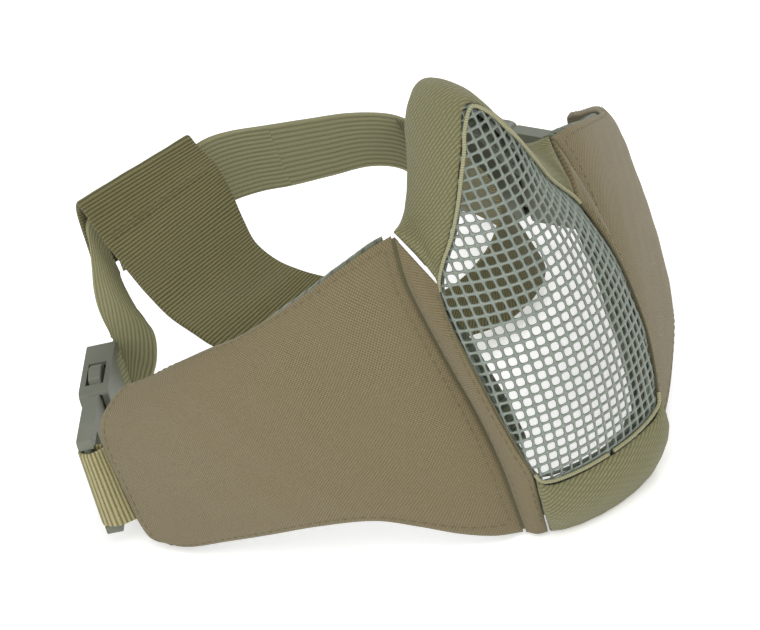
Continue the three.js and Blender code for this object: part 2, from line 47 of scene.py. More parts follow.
# ------------------------------------------------------------------ outlines
# Same outline tables as the solid model, in millimetres, left half given.
DOME = [[0, -1.5], [10, -5.2], [20, -5.8], [28, -7.2], [38, -8.2], [48, -8.1],
        [60, -6.6], [75, -3.0], [90, 2.2], [105, 8.2], [117, 12.4], [128, 16.3], [140, 21]]
EDGE = [[14, 20.5, 0.2], [22, 22.4, -1.9], [26.2, 23.8, -1.4], [35.4, 25.6, -0.4],
        [44.8, 27.0, 1.3], [52.8, 27.6, 3.5], [61, 28.0, 6.2], [67.7, 28.0, 9.3], [73.9, 27.5, 12.5],
        [79, 26.6, 15.0], [84, 25.0, 16.5], [88.8, 21.9, 16.7], [94.6, 18.0, 15.6], [103.5, 13.8, 14.3],
        [112.4, 10.0, 13.9], [117.6, 7.3, 14.2], [123, 4.6, 15.2], [128, 1.6, 16.5]]
OPEN_TOP = [[25.0, 16.5, 84], [21.9, 16.7, 88.8], [18.0, 15.6, 94.6], [13.8, 14.3, 103.5],
            [10.0, 13.9, 112.4], [7.3, 14.2, 117.6], [4.8, 15.0, 122.6], [2.6, 16.0, 126.4], [0, 16.4, 127.8]]
NOSE_OUT = [[28.7, 26.4, 100.1], [24.2, 29.5, 99.6], [19.6, 32.6, 101.0], [16.2, 33.6, 105.7],
  [13.6, 34.6, 110.6], [11.2, 36.4, 114.9], [8.9, 38.2, 119.0], [6.5, 39.2, 123.0], [4.1, 39.2, 126.6],
  [2.1, 38.8, 129.0], [0, 38.5, 129.9]]
OPEN_BOT = [[23.4, -1.6, 25], [22.2, -2.7, 22.2], [19.5, -3.8, 20.9], [15, -4.7, 20.3],
            [8, -5.5, 20], [0, -5.8, 19.9]]
CHIN_OUT = [[20.0, 5.6, 0], [17.6, 3.0, 0], [13.2, 0.4, 0], [9, -1.0, 0], [4.5, -1.9, 0], [0, -2.2, 0]]
STRIP_FRONT = [[19.9, 4.8, 1.2], [21.9, 1.0, 13], [23.5, -1.6, 25.2], [25.6, -0.4, 35.4],
               [27.0, 1.3, 44.8], [27.6, 3.5, 52.8], [28.0, 6.2, 61], [28.0, 9.3, 67.7], [27.5, 12.5, 73.9],
               [26.6, 15.0, 79], [25.1, 16.4, 83.8]]
SEAM = [[24.2, 9.9, 1.0], [25.6, 8.6, 14], [26.3, 8.7, 26.1], [27.6, 11.3, 43.4],
  [29.6, 15.6, 61], [30.9, 20, 77.2], [31.2, 22.6, 86], [30.5, 24.3, 93.2], [29.0, 26.2, 99.4]]
WING_TOP = [[29.2, 26.3, 100.0], [38.2, 28.7, 98.5], [48.2, 34.6, 94.1], [56.2, 41.2, 89.1],
  [63.4, 48.6, 84.3], [70.2, 58.3, 78.6], [74.2, 65.6, 75.6], [78.2, 74.6, 71.2], [82.9, 88.8, 63.6],
  [85.6, 98.5, 59.2]]
WING_REAR = [[88.6, 104.6, 2.0], [91.0, 108.8, 3.6], [91.9, 110.3, 7.5], [92.7, 111.5, 16],
             [93.3, 112.3, 26], [93.9, 113.2, 35.9], [93.6, 112.8, 42], [92.4, 110.7, 47], [90.2, 107.2, 52],
             [87.9, 103.2, 56.3], [85.6, 98.5, 59.2]]
WING_BOT = [[24.4, 10.0, 1.2], [32.4, 13.6, 3.2], [40.4, 18.4, 7.0], [49.2, 24.8, 12.6],
            [57.6, 32.4, 17.0], [68.0, 47.0, 16.2], [75.4, 62.0, 12.4], [81.6, 79.4, 7.2], [86.2, 95.6, 2.2],
            [88.6, 104.6, 2.0]]
RUN_A = [[-46, 163.2, 80.0], [-30, 163.2, 80.2], [-9.5, 163.2, 80.9], [-3, 163.2, 80.8], [4.9, 163.6, 78.8],
  [18.3, 165, 73.4], [34.7, 167, 66.6], [51.3, 168.5, 59.6], [66, 170, 51.0], [73.5, 171.0, 44.0], [79.2, 171.6, 36.6]]
RUN_B = [[-45, 163.2, 55.6], [-30, 163.2, 55.8], [-7.4, 163.2, 56.8], [-1.5, 163.2, 57.0], [9.0, 163.6, 54.6],
  [20.6, 165, 50.0], [37.3, 167, 44.2], [52.5, 168.5, 39.0], [64.1, 170, 31.4], [71.5, 171.0, 21.5], [79.2, 171.6, 11.4]]
LEG_A = [[-54.5, 163.7, 34.8], [-55.6, 164.6, 40.4], [-56.2, 165.2, 48], [-55.6, 165.0, 55],
  [-54.3, 164.2, 62], [-53.2, 163.4, 69], [-52.0, 163.2, 76], [-48.0, 163.2, 79.9]]
LEG_B = [[-54.5, 163.7, 10.2], [-50.8, 160.4, 17], [-47.2, 156.2, 26.5], [-45.9, 154.8, 36.5],
  [-47.4, 158.0, 44.5], [-47.8, 160.6, 50.5], [-47.4, 162.4, 54.4], [-46.8, 163.2, 55.6]]
BAND_A = [[-52.5, 166.2, 58], [-52.5, 166.2, 71], [-52.5, 165.6, 80], [-52.5, 163.3, 83.6],
  [-52.5, 160.8, 81.4], [-52.7, 157, 77.0], [-52.8, 152.6, 72.6], [-53.3, 143, 65.5],
  [-53.7, 135, 60.7], [-52.8, 127, 54.4], [-51.1, 119, 50.3], [-48.6, 113, 45.8], [-36.2, 106, 35.5],
  [-16.2, 102, 23], [6.5, 99, 14.4], [25.5, 98, 10.8], [42.3, 99, 6.6], [57.9, 103, 6.3],
  [70.0, 112, 6.8], [76.0, 128, 8], [78.0, 145, 10], [78.0, 158, 11.5], [78.0, 168.9, 12.5]]
BAND_B = [[-9.0, 166.2, 58.8], [-9.0, 166.2, 72], [-9.0, 165.6, 80.9], [-9.0, 163.3, 84.4],
  [-9.0, 160.8, 82.4], [-8.4, 157.4, 79.4], [-8.5, 153, 76.5], [-10.2, 146, 70.1],
  [-12.7, 139, 62.8], [-14.6, 132, 57.5], [-13.1, 124, 52.6], [-10.3, 117, 49.9], [-2.9, 110, 44.6],
  [9.9, 106, 34.9], [26.6, 105, 25.2], [41, 105, 26.4], [53.0, 109, 29.0], [61.5, 115, 33.0],
  [66.5, 124, 37.5], [68.5, 136, 42.0], [68.4, 150, 46.5], [67.2, 160, 49.0], [66.2, 167.7, 49.5]]
BUCKLE_Z = 22.5
TAB_BAR = (96.4, 118.4)
BAR_X = 55.3
YAW = {"right": math.atan2(0.77, 0.637), "left": math.atan2(0.98, -0.20)}


# ------------------------------------------------------------------ helpers
def table(rows, t):
    """Smooth value of a [t, a, b...] table, for an array t."""
    R = np.array(rows, float)
    t = np.clip(np.asarray(t, float), R[0, 0], R[-1, 0])
    i = np.clip(np.searchsorted(R[:, 0], t, side="right") - 1, 0, len(R) - 2)
    n = len(R)
    slope = np.array([(R[min(n - 1, j + 1), 1:] - R[max(0, j - 1), 1:]) / (R[min(n - 1, j + 1), 0] - R[max(0, j - 1), 0]) for j in range(n)])
    h = (R[i + 1, 0] - R[i, 0])[..., None]
    u = (t - R[i, 0])[..., None] / h
    m0, m1 = slope[i] * h, slope[i + 1] * h
    u2, u3 = u * u, u ** 3
    return (2 * u3 - 3 * u2 + 1) * R[i, 1:] + (u3 - 2 * u2 + u) * m0 + (3 * u2 - 2 * u3) * R[i + 1, 1:] + (u3 - u2) * m1


def curve(P, t):
    """Centripetal spline through P, evenly split between its points."""
    P = np.array(P, float)
    t = np.asarray(t, float)
    n = len(P)
    E = np.vstack([2 * P[0] - P[1], P, 2 * P[-1] - P[-2]])
    p = np.clip(t, 0, 1) * (n - 1)
    i = np.clip(np.floor(p).astype(int), 0, n - 2)
    w = (p - i)[..., None]
    x0, x1, x2, x3 = E[i], E[i + 1], E[i + 2], E[i + 3]
    d = lambda a, b: np.maximum(1e-4, np.sum((a - b) ** 2, -1, keepdims=True) ** 0.25)
    d0, d1, d2 = d(x0, x1), d(x1, x2), d(x2, x3)
    m1 = ((x1 - x0) / d0 - (x2 - x0) / (d0 + d1) + (x2 - x1) / d1) * d1
    m2 = ((x2 - x1) / d1 - (x3 - x1) / (d1 + d2) + (x3 - x2) / d2) * d1
    return x1 + m1 * w + (-3 * x1 + 3 * x2 - 2 * m1 - m2) * w ** 2 + (2 * x1 - 2 * x2 + m1 + m2) * w ** 3


def both(P):
    return [[-a, b, c] for a, b, c in P] + [list(q) for q in P[:-1][::-1]]


def spaced(n, r):
    """n+1 values over 0..1, with extra ones inside r of each end for a rounded rim."""
    rim = [r * (1 - math.cos(a)) for a in np.linspace(0, math.pi / 2, 5)]
    mid = np.linspace(r, 1 - r, n - 7)
    return np.array(rim[:-1] + list(mid) + [1 - x for x in rim[:-1]][::-1])


def wob(P, k=0.11, seed=0.0):
    """Smooth, repeatable small variation over space, about -1..1."""
    x, y, z = P[..., 0] * k, P[..., 1] * k, P[..., 2] * k
    return (np.sin(x * 1.7 + y * 0.9 + 1.3 + seed) * np.cos(z * 1.9 - x * 0.7 + seed * 2.1)
            + 0.6 * np.sin(y * 2.9 + z * 1.3 + seed * 3.7) * np.cos(x * 2.3 - z * 2.7 + 0.4)
            + 0.4 * np.sin(x * 4.7 - y * 3.9 + z * 5.1 + seed)) / 1.6


def normals(P, inside):
    du = np.gradient(P, axis=0)
    dv = np.gradient(P, axis=1)
    N = np.cross(du, dv)
    N /= np.maximum(1e-9, np.linalg.norm(N, axis=-1, keepdims=True))
    mid = P[P.shape[0] // 2, P.shape[1] // 2]
    if inside is not None and np.dot(N[P.shape[0] // 2, P.shape[1] // 2], mid - np.array(inside, float)) < 0:
        N = -N
    return N


def lengths(P):
    """Distance along each grid direction, in millimetres, for weave coordinates."""
    i, j = P.shape[0] // 2, P.shape[1] // 2
    a = np.concatenate([[0], np.cumsum(np.linalg.norm(np.diff(P[:, j], axis=0), axis=1))])
    b = np.concatenate([[0], np.cumsum(np.linalg.norm(np.diff(P[i], axis=0), axis=1))])
    return np.meshgrid(a, b, indexing="ij")


def build(name, V, F, mat, body=None, uv=None, smooth=True):
    me = bpy.data.meshes.new(name)
    me.from_pydata([tuple(v) for v in (np.asarray(V) * MM)], [], F)
    me.update()
    if uv is not None:
        lay = me.uv_layers.new(name="UVMap")
        idx = np.empty(len(me.loops), int)
        me.loops.foreach_get("vertex_index", idx)
        lay.data.foreach_set("uv", np.asarray(uv)[idx].astype(np.float32).ravel())
    if smooth:
        me.polygons.foreach_set("use_smooth", [True] * len(me.polygons))
    ob = bpy.data.objects.new(name, me)
    bpy.context.scene.collection.objects.link(ob)
    ob.data.materials.append(mat)
    if body:
        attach(ob, body)
    return ob


UV_SHIFT = 0.0


def pad(name, P, out, inn, mat, inside, r=1.0, body=None, fuzz=0.0, N=None):
    """Closed cushion over grid P: faces at heights out and inn along the outward
    normal (mm), meeting in a rim rounded over r mm."""
    nu, nv = P.shape[:2]
    if N is None:
        N = normals(P, inside)
    A, B = lengths(P)
    d = np.minimum(np.minimum(A, A[-1:, :] - A), np.minimum(B, B[:, -1:] - B))
    s = np.clip(d / r, 0, 1)
    prof = np.sqrt(np.maximum(0, 1 - (1 - s) ** 2))
    out = np.broadcast_to(out, (nu, nv)); inn = np.broadcast_to(inn, (nu, nv))
    mid = (out + inn) / 2
    O = P + N * (mid + (out - mid) * prof)[..., None]
    I = P + N * (mid + (inn - mid) * prof)[..., None]
    if fuzz:
        w = np.clip(1 - d / 6, 0, 1)
        O += N * (wob(P, 1.9, 1.0) * fuzz * (0.4 + w))[..., None]
        O[..., 2] += wob(P, 2.3, 4.0) * fuzz * w
        I += N * (wob(P, 2.1, 2.0) * fuzz * 0.3)[..., None]
    edge = np.zeros((nu, nv), bool)
    edge[0] = edge[-1] = True; edge[:, 0] = edge[:, -1] = True
    idO = np.arange(nu * nv).reshape(nu, nv)
    idI = idO.copy()
    k = nu * nv
    inner = np.argwhere(~edge)
    idI[~edge] = k + np.arange(len(inner))
    V = np.vstack([O.reshape(-1, 3), I[~edge]])
    global UV_SHIFT
    UV = np.stack([A + UV_SHIFT, B], -1)
    UV_SHIFT = 0.0
    uv = np.vstack([UV.reshape(-1, 2), UV[~edge]])
    F = []
    flip = np.dot(np.cross(P[1, 0] - P[0, 0], P[0, 1] - P[0, 0]), N[0, 0]) < 0
    for i in range(nu - 1):
        for j in range(nv - 1):
            q = (idO[i, j], idO[i + 1, j], idO[i + 1, j + 1], idO[i, j + 1])
            F.append(q[::-1] if flip else q)
            q = (idI[i, j], idI[i, j + 1], idI[i + 1, j + 1], idI[i + 1, j])
            F.append(q[::-1] if flip else q)
    return build(name, V, F, mat, body, uv)


def tube(name, P, r, mat, body=None, n=8, closed=False):
    """Round cord through points P (mm)."""
    P = np.asarray(P, float)
    m = len(P)
    T = np.gradient(P, axis=0) if not closed else np.roll(P, -1, 0) - np.roll(P, 1, 0)
    T /= np.linalg.norm(T, axis=1, keepdims=True)
    up = np.array([0.0, 1.0, 0.2])
    X = np.cross(T, up); X /= np.maximum(1e-9, np.linalg.norm(X, axis=1, keepdims=True))
    Y = np.cross(X, T)
    a = np.linspace(0, 2 * math.pi, n, endpoint=False)
    V = (P[:, None] + r * (np.cos(a)[None, :, None] * X[:, None] + np.sin(a)[None, :, None] * Y[:, None])).reshape(-1, 3)
    F = []
    last = m if closed else m - 1
    for i in range(last):
        for j in range(n):
            k, l = (i + 1) % m, (j + 1) % n
            F.append((i * n + j, i * n + l, k * n + l, k * n + j))
    if not closed:
        F.append(tuple(range(n))[::-1]); F.append(tuple((m - 1) * n + j for j in range(n)))
    L = np.concatenate([[0], np.cumsum(np.linalg.norm(np.diff(P, axis=0), axis=1))])
    uv = np.stack([np.repeat(L, n), np.tile(a * r, m)], -1)
    return build(name, V, F, mat, body, uv)


def threads(name, P, N, pitch, length, r, mat, body, lift=0.25):
    """Row of stitches along the path P with surface normals N (mm)."""
    P = np.asarray(P, float); N = np.asarray(N, float)
    L = np.concatenate([[0], np.cumsum(np.linalg.norm(np.diff(P, axis=0), axis=1))])
    V, F, UVs = [], [], []
    s = pitch * 0.5
    while s + length < L[-1]:
        pts, nn = [], []
        for k in range(5):
            t = s + length * k / 4
            q = np.array([np.interp(t, L, P[:, c]) for c in range(3)])
            m = np.array([np.interp(t, L, N[:, c]) for c in range(3)]); m /= np.linalg.norm(m)
            pts.append(q + m * (lift * math.sin(math.pi * (0.12 + 0.76 * k / 4)) - 0.05)); nn.append(m)
        for k in range(5):
            tg = (pts[min(4, k + 1)] - pts[max(0, k - 1)]); tg /= np.linalg.norm(tg)
            x = np.cross(tg, nn[k]); x /= np.linalg.norm(x); y = np.cross(x, tg)
            rr = r * (0.55 if k in (0, 4) else 1.0)
            for a in range(6):
                V.append(pts[k] + rr * (math.cos(a * math.pi / 3) * x + math.sin(a * math.pi / 3) * y))
                UVs.append((t, a))
        b = len(V) - 30
        for k in range(4):
            for a in range(6):
                F.append((b + k * 6 + a, b + k * 6 + (a + 1) % 6, b + k * 6 + 6 + (a + 1) % 6, b + k * 6 + 6 + a))
        F.append(tuple(b + a for a in range(6))[::-1]); F.append(tuple(b + 24 + a for a in range(6)))
        s += pitch
    return build(name, V, F, mat, body, UVs)


# ------------------------------------------------------------------ materials
def lin(c):
    return tuple(((x / 255) / 12.92 if x / 255 <= 0.04045 else ((x / 255 + 0.055) / 1.055) ** 2.4) for x in c) + (1.0,)


class M:
    """Small helper round one node material."""
    def __init__(self, name):
        self.m = bpy.data.materials.new(name)
        self.m.use_nodes = True
        self.t = self.m.node_tree
        self.b = self.t.nodes["Principled BSDF"]

    def n(self, kind, **kw):
        x = self.t.nodes.new(kind)
        for k, v in kw.items():
            if k.startswith("_"):
                setattr(x, k[1:], v)
        return x

    def link(self, a, b):
        self.t.links.new(a, b)

    def math(self, op, a, b=None, c=None, clamp=False):
        x = self.n("ShaderNodeMath", _operation=op)
        x.use_clamp = clamp
        for k, v in enumerate((a, b, c)):
            if v is None:
                continue
            if isinstance(v, (int, float)):
                x.inputs[k].default_value = v
            else:
                self.link(v, x.inputs[k])
        return x.outputs[0]

    def uv(self):
        x = self.n("ShaderNodeUVMap")
        s = self.n("ShaderNodeSeparateXYZ")
        self.link(x.outputs[0], s.inputs[0])
        return s.outputs[0], s.outputs[1], x.outputs[0]

    def obj(self):
        x = self.n("ShaderNodeTexCoord")
        return x.outputs["Object"]

    def noise(self, vec, scale, detail=3.0, rough=0.55):
        x = self.n("ShaderNodeTexNoise")
        x.inputs["Scale"].default_value = scale
        x.inputs["Detail"].default_value = detail
        x.inputs["Roughness"].default_value = rough
        self.link(vec, x.inputs["Vector"])
        return x.outputs["Fac"] if "Fac" in x.outputs else x.outputs[0]

    def mix(self, f, a, b):
        x = self.n("ShaderNodeMix", _data_type="RGBA")
        if isinstance(f, (int, float)):
            x.inputs[0].default_value = f
        else:
            self.link(f, x.inputs[0])
        for k, v in ((6, a), (7, b)):
            if isinstance(v, tuple):
                x.inputs[k].default_value = v
            else:
                self.link(v, x.inputs[k])
        return x.outputs[2]

    def bump(self, h, strength, dist):
        x = self.n("ShaderNodeBump")
        x.inputs["Strength"].default_value = strength
        x.inputs["Distance"].default_value = dist
        self.link(h, x.inputs["Height"])
        self.link(x.outputs[0], self.b.inputs["Normal"])
        return x

    def done(self, colour, rough=0.85, metal=0.0, sheen=0.0, spec=0.3):
        if isinstance(colour, tuple):
            self.b.inputs["Base Color"].default_value = colour
        else:
            self.link(colour, self.b.inputs["Base Color"])
        if isinstance(rough, (int, float)):
            self.b.inputs["Roughness"].default_value = rough
        else:
            self.link(rough, self.b.inputs["Roughness"])
        self.b.inputs["Metallic"].default_value = metal
        self.b.inputs["Specular IOR Level"].default_value = spec
        self.b.inputs["Sheen Weight"].default_value = sheen
        self.b.inputs["Sheen Roughness"].default_value = 0.6
        return self.m


TAU = 2 * math.pi


def woven(name, base, dark, light, pu, pv, depth=0.16, var=0.35, sheen=0.15, slub=0.5, diag=0.0):
    """Plain weave: over-and-under threads with pitches pu and pv in mm."""
    k = M(name)
    u, v, uvv = k.uv()
    if diag:
        u2 = k.math("ADD", u, k.math("MULTIPLY", v, diag))
    else:
        u2 = u
    o = k.obj()
    n1 = k.noise(o, 1500, 2)
    n2 = k.noise(o, 60, 3)
    n3 = k.noise(o, 260, 2)
    jit = k.math("MULTIPLY", k.math("SUBTRACT", n3, 0.5), 0.9)
    a = k.math("SINE", k.math("ADD", k.math("MULTIPLY", u2, TAU / pu), jit))
    b = k.math("SINE", k.math("ADD", k.math("MULTIPLY", v, TAU / pv), jit))
    ab = k.math("MULTIPLY", a, b)
    h = k.math("ADD", k.math("MULTIPLY", ab, 0.5), 0.5)
    h = k.math("ADD", h, k.math("MULTIPLY", k.math("SUBTRACT", n1, 0.5), slub))
    c = k.mix(k.math("MULTIPLY", h, 1.0, clamp=True), lin(dark), lin(light))
    c = k.mix(k.math("MULTIPLY", k.math("SUBTRACT", n2, 0.30), 1.1, clamp=True), c, lin(base))
    k.bump(h, 0.55, depth * MM)
    return k.done(c, k.math("ADD", 0.80, k.math("MULTIPLY", n1, 0.15)), sheen=sheen, spec=0.2)


def ribbed(name, base, dark, light, pitch, along, cross=0.0, cross_pitch=0.6, depth=0.3, sheen=0.15, diag=0.0, sharp=1.0):
    """Ribs with the given pitch. along='u' makes ribs that run along v."""
    k = M(name)
    u, v, uvv = k.uv()
    p, q = (u, v) if along == "u" else (v, u)
    if diag:
        p = k.math("ADD", p, k.math("MULTIPLY", q, diag))
    o = k.obj()
    n1 = k.noise(o, 1300, 2)
    n2 = k.noise(o, 45, 3)
    n3 = k.noise(o, 120, 2)
    p = k.math("ADD", p, k.math("MULTIPLY", k.math("SUBTRACT", n3, 0.5), 0.35))
    r = k.math("ABSOLUTE", k.math("SINE", k.math("MULTIPLY", p, math.pi / pitch)))
    r = k.math("POWER", r, sharp)
    if cross:
        # half-step shift from rib to rib gives short, brick-like stitches
        row = k.math("FLOOR", k.math("DIVIDE", p, pitch))
        ph = k.math("ADD", k.math("DIVIDE", q, cross_pitch), k.math("MULTIPLY", row, 0.5))
        s = k.math("ABSOLUTE", k.math("SINE", k.math("MULTIPLY", ph, math.pi)))
        s = k.math("POWER", s, 0.6)
        r2 = k.math("MULTIPLY", r, k.math("ADD", 1 - cross, k.math("MULTIPLY", s, cross)))
    else:
        r2 = r
    h = k.math("ADD", r2, k.math("MULTIPLY", k.math("SUBTRACT", n1, 0.5), 0.35))
    c = k.mix(k.math("MULTIPLY", h, 1.0, clamp=True), lin(dark), lin(light))
    c = k.mix(k.math("MULTIPLY", k.math("SUBTRACT", n2, 0.35), 0.9, clamp=True), c, lin(base))
    k.bump(h, 0.7, depth * MM)
    return k.done(c, 0.88, sheen=sheen, spec=0.2)


def lining_mat(name, dark, light):
    """Fuzzy spacer mesh: small round holes in a hairy knit."""
    k = M(name)
    u, v, uvv = k.uv()
    o = k.obj()
    n1 = k.noise(o, 2200, 4, 0.7)
    n2 = k.noise(o, 300, 3)
    a = k.math("COSINE", k.math("MULTIPLY", u, TAU / 2.6))
    b = k.math("COSINE", k.math("MULTIPLY", k.math("ADD", k.math("MULTIPLY", u, 0.5), k.math("MULTIPLY", v, 0.87)), TAU / 2.6))
    c0 = k.math("COSINE", k.math("MULTIPLY", k.math("SUBTRACT", k.math("MULTIPLY", u, 0.5), k.math("MULTIPLY", v, 0.87)), TAU / 2.6))
    hex_ = k.math("DIVIDE", k.math("ADD", k.math("ADD", a, b), c0), 3.0)
    hole = k.math("SUBTRACT", 1.0, k.math("MULTIPLY", k.math("SUBTRACT", hex_, 0.25), 2.6, clamp=True))
    h = k.math("ADD", k.math("MULTIPLY", hole, 0.6), k.math("MULTIPLY", n1, 0.8))
    c = k.mix(k.math("MULTIPLY", k.math("MULTIPLY", h, 0.85), k.math("ADD", 0.6, k.math("MULTIPLY", n2, 0.7)), clamp=True), lin(dark), lin(light))
    k.bump(h, 0.9, 0.5 * MM)
    return k.done(c, 0.95, sheen=0.35, spec=0.1)


def wire_mat(name):
    k = M(name)
    o = k.obj()
    n1 = k.noise(o, 900, 3)
    n2 = k.noise(o, 70, 2)
    c = k.mix(n1, lin((112, 122, 112)), lin((150, 158, 148)))
    c = k.mix(k.math("MULTIPLY", n2, 0.5, clamp=True), c, lin((126, 133, 124)))
    k.bump(n1, 0.15, 0.1 * MM)
    return k.done(c, k.math("ADD", 0.34, k.math("MULTIPLY", n1, 0.2)), metal=0.25, spec=0.5)


def plastic_mat(name, c0=(96, 99, 86), c1=(116, 119, 104)):
    k = M(name)
    o = k.obj()
    n1 = k.noise(o, 3500, 3)
    n2 = k.noise(o, 90, 2)
    c = k.mix(n2, lin(c0), lin(c1))
    k.bump(n1, 0.12, 0.06 * MM)
    return k.done(c, k.math("ADD", 0.36, k.math("MULTIPLY", n2, 0.16)), spec=0.5)


def thread_mat(name, c):
    k = M(name)
    u, v, uvv = k.uv()
    s = k.math("ABSOLUTE", k.math("SINE", k.math("MULTIPLY", k.math("ADD", u, k.math("MULTIPLY", v, 0.4)), TAU / 0.9)))
    col = k.mix(s, lin(tuple(x * 0.7 for x in c)), lin(c))
    k.bump(s, 0.4, 0.08 * MM)
    return k.done(col, 0.7, sheen=0.1)


def tab_mat(name):
    """Webbing with yellow and dark stripes along its folded edge side."""
    k = M(name)
    u, v, uvv = k.uv()
    o = k.obj()
    n1 = k.noise(o, 1300, 2)
    st = k.math("ABSOLUTE", k.math("SINE", k.math("MULTIPLY", u, math.pi / 1.25)))
    st = k.math("POWER", st, 1.3)
    cr = k.math("ABSOLUTE", k.math("SINE", k.math("MULTIPLY", v, math.pi / 0.62)))
    h = k.math("ADD", k.math("MULTIPLY", st, 0.8), k.math("MULTIPLY", cr, 0.2))
    c = k.mix(k.math("MULTIPLY", k.math("ADD", h, k.math("MULTIPLY", k.math("SUBTRACT", n1, 0.5), 0.4)), 1.0, clamp=True),
              lin((84, 78, 50)), lin((172, 164, 118)))
    k.bump(h, 0.7, 0.3 * MM)
    return k.done(c, 0.85, sheen=0.15, spec=0.2)


TAN = woven("tan_cloth", (119, 107, 78), (86, 77, 53), (139, 127, 95), 0.95, 0.80, depth=0.26)
TRIM = ribbed("green_trim", (111, 109, 76), (84, 83, 54), (131, 128, 93), 1.05, "v", cross=0.40, cross_pitch=1.7, depth=0.24, diag=0.62, sharp=0.8)
PIPING = ribbed("piping", (150, 148, 116), (118, 116, 84), (166, 163, 128), 0.7, "u", depth=0.12)
LINING = lining_mat("lining", (34, 40, 28), (98, 106, 80))
# wide elastic: olive colour with painted shade; the base and rib colours are darkened to the band's shadowed look
# inside the cavity
OLIVE_AND_SHADE = ribbed("wide_elastic", (90, 86, 51), (52, 50, 22), (121, 116, 76), 1.12, "u", cross=0.35, cross_pitch=0.85, depth=0.42, sharp=0.9)
ELASTIC = ribbed("narrow_elastic", (138, 136, 100), (108, 107, 74), (154, 151, 114), 1.55, "v", cross=0.22, cross_pitch=0.8, depth=0.22)
TABM = tab_mat("tab_webbing")
WIREM = wire_mat("mesh_wire")
PLASTIC = plastic_mat("buckle_plastic")
# darker cloth for the side edge cords and the web under the fold: painted shade for the gap lines and creases there
SEAM_SHADE_CLOTH = woven("seam_cloth_painted_shade", (92, 88, 62), (66, 64, 42), (104, 100, 72), 0.8, 0.8, depth=0.1)
STITCH = thread_mat("stitch_thread", (122, 113, 84))


# ------------------------------------------------------------------ front
def dome_y(x, z):
    yc = table(DOME, z)[..., 0]
    E = table(EDGE, z)
    return yc + (E[..., 1] - yc) * (np.abs(x) / np.maximum(E[..., 0], 4)) ** 2.1


PITCH = 3.2


def mesh_panel():
    """Punched square-hole mesh pressed to the dome: rounded wires 1.05 mm wide."""
    zc = np.linspace(17.2, 130.0, 1500)
    yc = table(DOME, zc)[..., 0]
    arc = np.concatenate([[0], np.cumsum(np.hypot(np.diff(zc), np.diff(yc)))])
    rows = int(arc[-1] / PITCH)
    SUB = 6                                     # fine lattice per cell
    zf = np.interp(np.arange(rows * SUB + 1) * PITCH / SUB, arc, zc)
    C = 13
    sf = np.arange(-C * SUB, C * SUB + 1) * PITCH / SUB
    G = np.zeros((len(sf), len(zf), 3))
    sE = np.zeros(len(zf))
    for j, z in enumerate(zf):
        xe, ye = table(EDGE, z)
        xs = np.linspace(0, max(xe, 1.5), 260)
        ys = dome_y(xs, np.full_like(xs, z))
        L = np.concatenate([[0], np.cumsum(np.hypot(np.diff(xs), np.diff(ys)))])
        sE[j] = L[-1]
        a = np.abs(sf)
        x = np.interp(a, L, xs); y = np.interp(a, L, ys)
        over = np.maximum(0, a - L[-1])
        g = min(1, max(0, (z - 78) / 12))       # under the nose pad the flange is flatter
        tx, ty = 0.16 * (1 - g) + 0.60 * g, 0.98 * (1 - g) + 0.80 * g
        G[:, j, 0] = np.sign(sf) * (x + over * tx)
        G[:, j, 1] = y + over * ty
        G[:, j, 2] = z
    N = normals(G, (0, 60, 60))
    V, F = [], []
    key = {}

    def vert(si, zi, h):
        """Point at lattice place (si, zi), in cells, raised by h mm."""
        k = (round(si * 1000), round(zi * 1000), round(h * 1000))
        if k in key:
            return key[k]
        a, b = (si + C) * SUB, zi * SUB
        i, j = int(min(len(sf) - 2, max(0, math.floor(a)))), int(min(len(zf) - 2, max(0, math.floor(b))))
        fa, fb = a - i, b - j
        W = ((1 - fa) * (1 - fb), fa * (1 - fb), (1 - fa) * fb, fa * fb)
        Q = ((i, j), (i + 1, j), (i, j + 1), (i + 1, j + 1))
        p = sum(w * G[q] for w, q in zip(W, Q)); n = sum(w * N[q] for w, q in zip(W, Q))
        n = n / np.linalg.norm(n)
        V.append(p + n * (h - 0.45))
        key[k] = len(V) - 1
        return key[k]

    ang = [(-.5, -.5), (-.167, -.5), (.167, -.5), (.5, -.5), (.5, -.167), (.5, .167), (.5, .5), (.167, .5),
           (-.167, .5), (-.5, .5), (-.5, .167), (-.5, -.167)]
    hole = []
    for x, y in ang:
        t = math.atan2(y, x)
        rr = 0.372 / (abs(math.cos(t)) ** 4.2 + abs(math.sin(t)) ** 4.2) ** (1 / 4.2)
        hole.append((rr * math.cos(t), rr * math.sin(t)))
    T = 0.42
    for i in range(-C, C):
        for j in range(rows):
            cs, cz = i + 0.5, j + 0.5
            zz = zf[int(cz * SUB)]
            if abs(cs) * PITCH > sE[int(cz * SUB)] + 1.9:
                continue
            outer = ang
            midr = [((a[0] * 0.45 + b[0] * 0.55), (a[1] * 0.45 + b[1] * 0.55)) for a, b in zip(ang, hole)]
            cross = [1.0 if abs(abs(x) - .5) < 1e-6 and abs(abs(y) - .5) < 1e-6 else 0.0 for x, y in ang]
            n = len(ang)
            ring = [
                [vert(cs + x, cz + y, T + 0.12 * c) for (x, y), c in zip(outer, cross)],
                [vert(cs + x, cz + y, T * 0.86) for x, y in midr],
                [vert(cs + x, cz + y, 0.0) for x, y in hole],
                [vert(cs + x, cz + y, -T * 0.86) for x, y in midr],
                [vert(cs + x, cz + y, -T - 0.12 * c) for (x, y), c in zip(outer, cross)],
            ]
            for a in range(4):
                for b in range(n):
                    c = (b + 1) % n
                    F.append((ring[a][b], ring[a][c], ring[a + 1][c], ring[a + 1][b]))
    ob = build("wire_mesh_front", V, F, WIREM, "front")
    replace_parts(ob, "mesh_panel")
    return ob


mesh_panel()


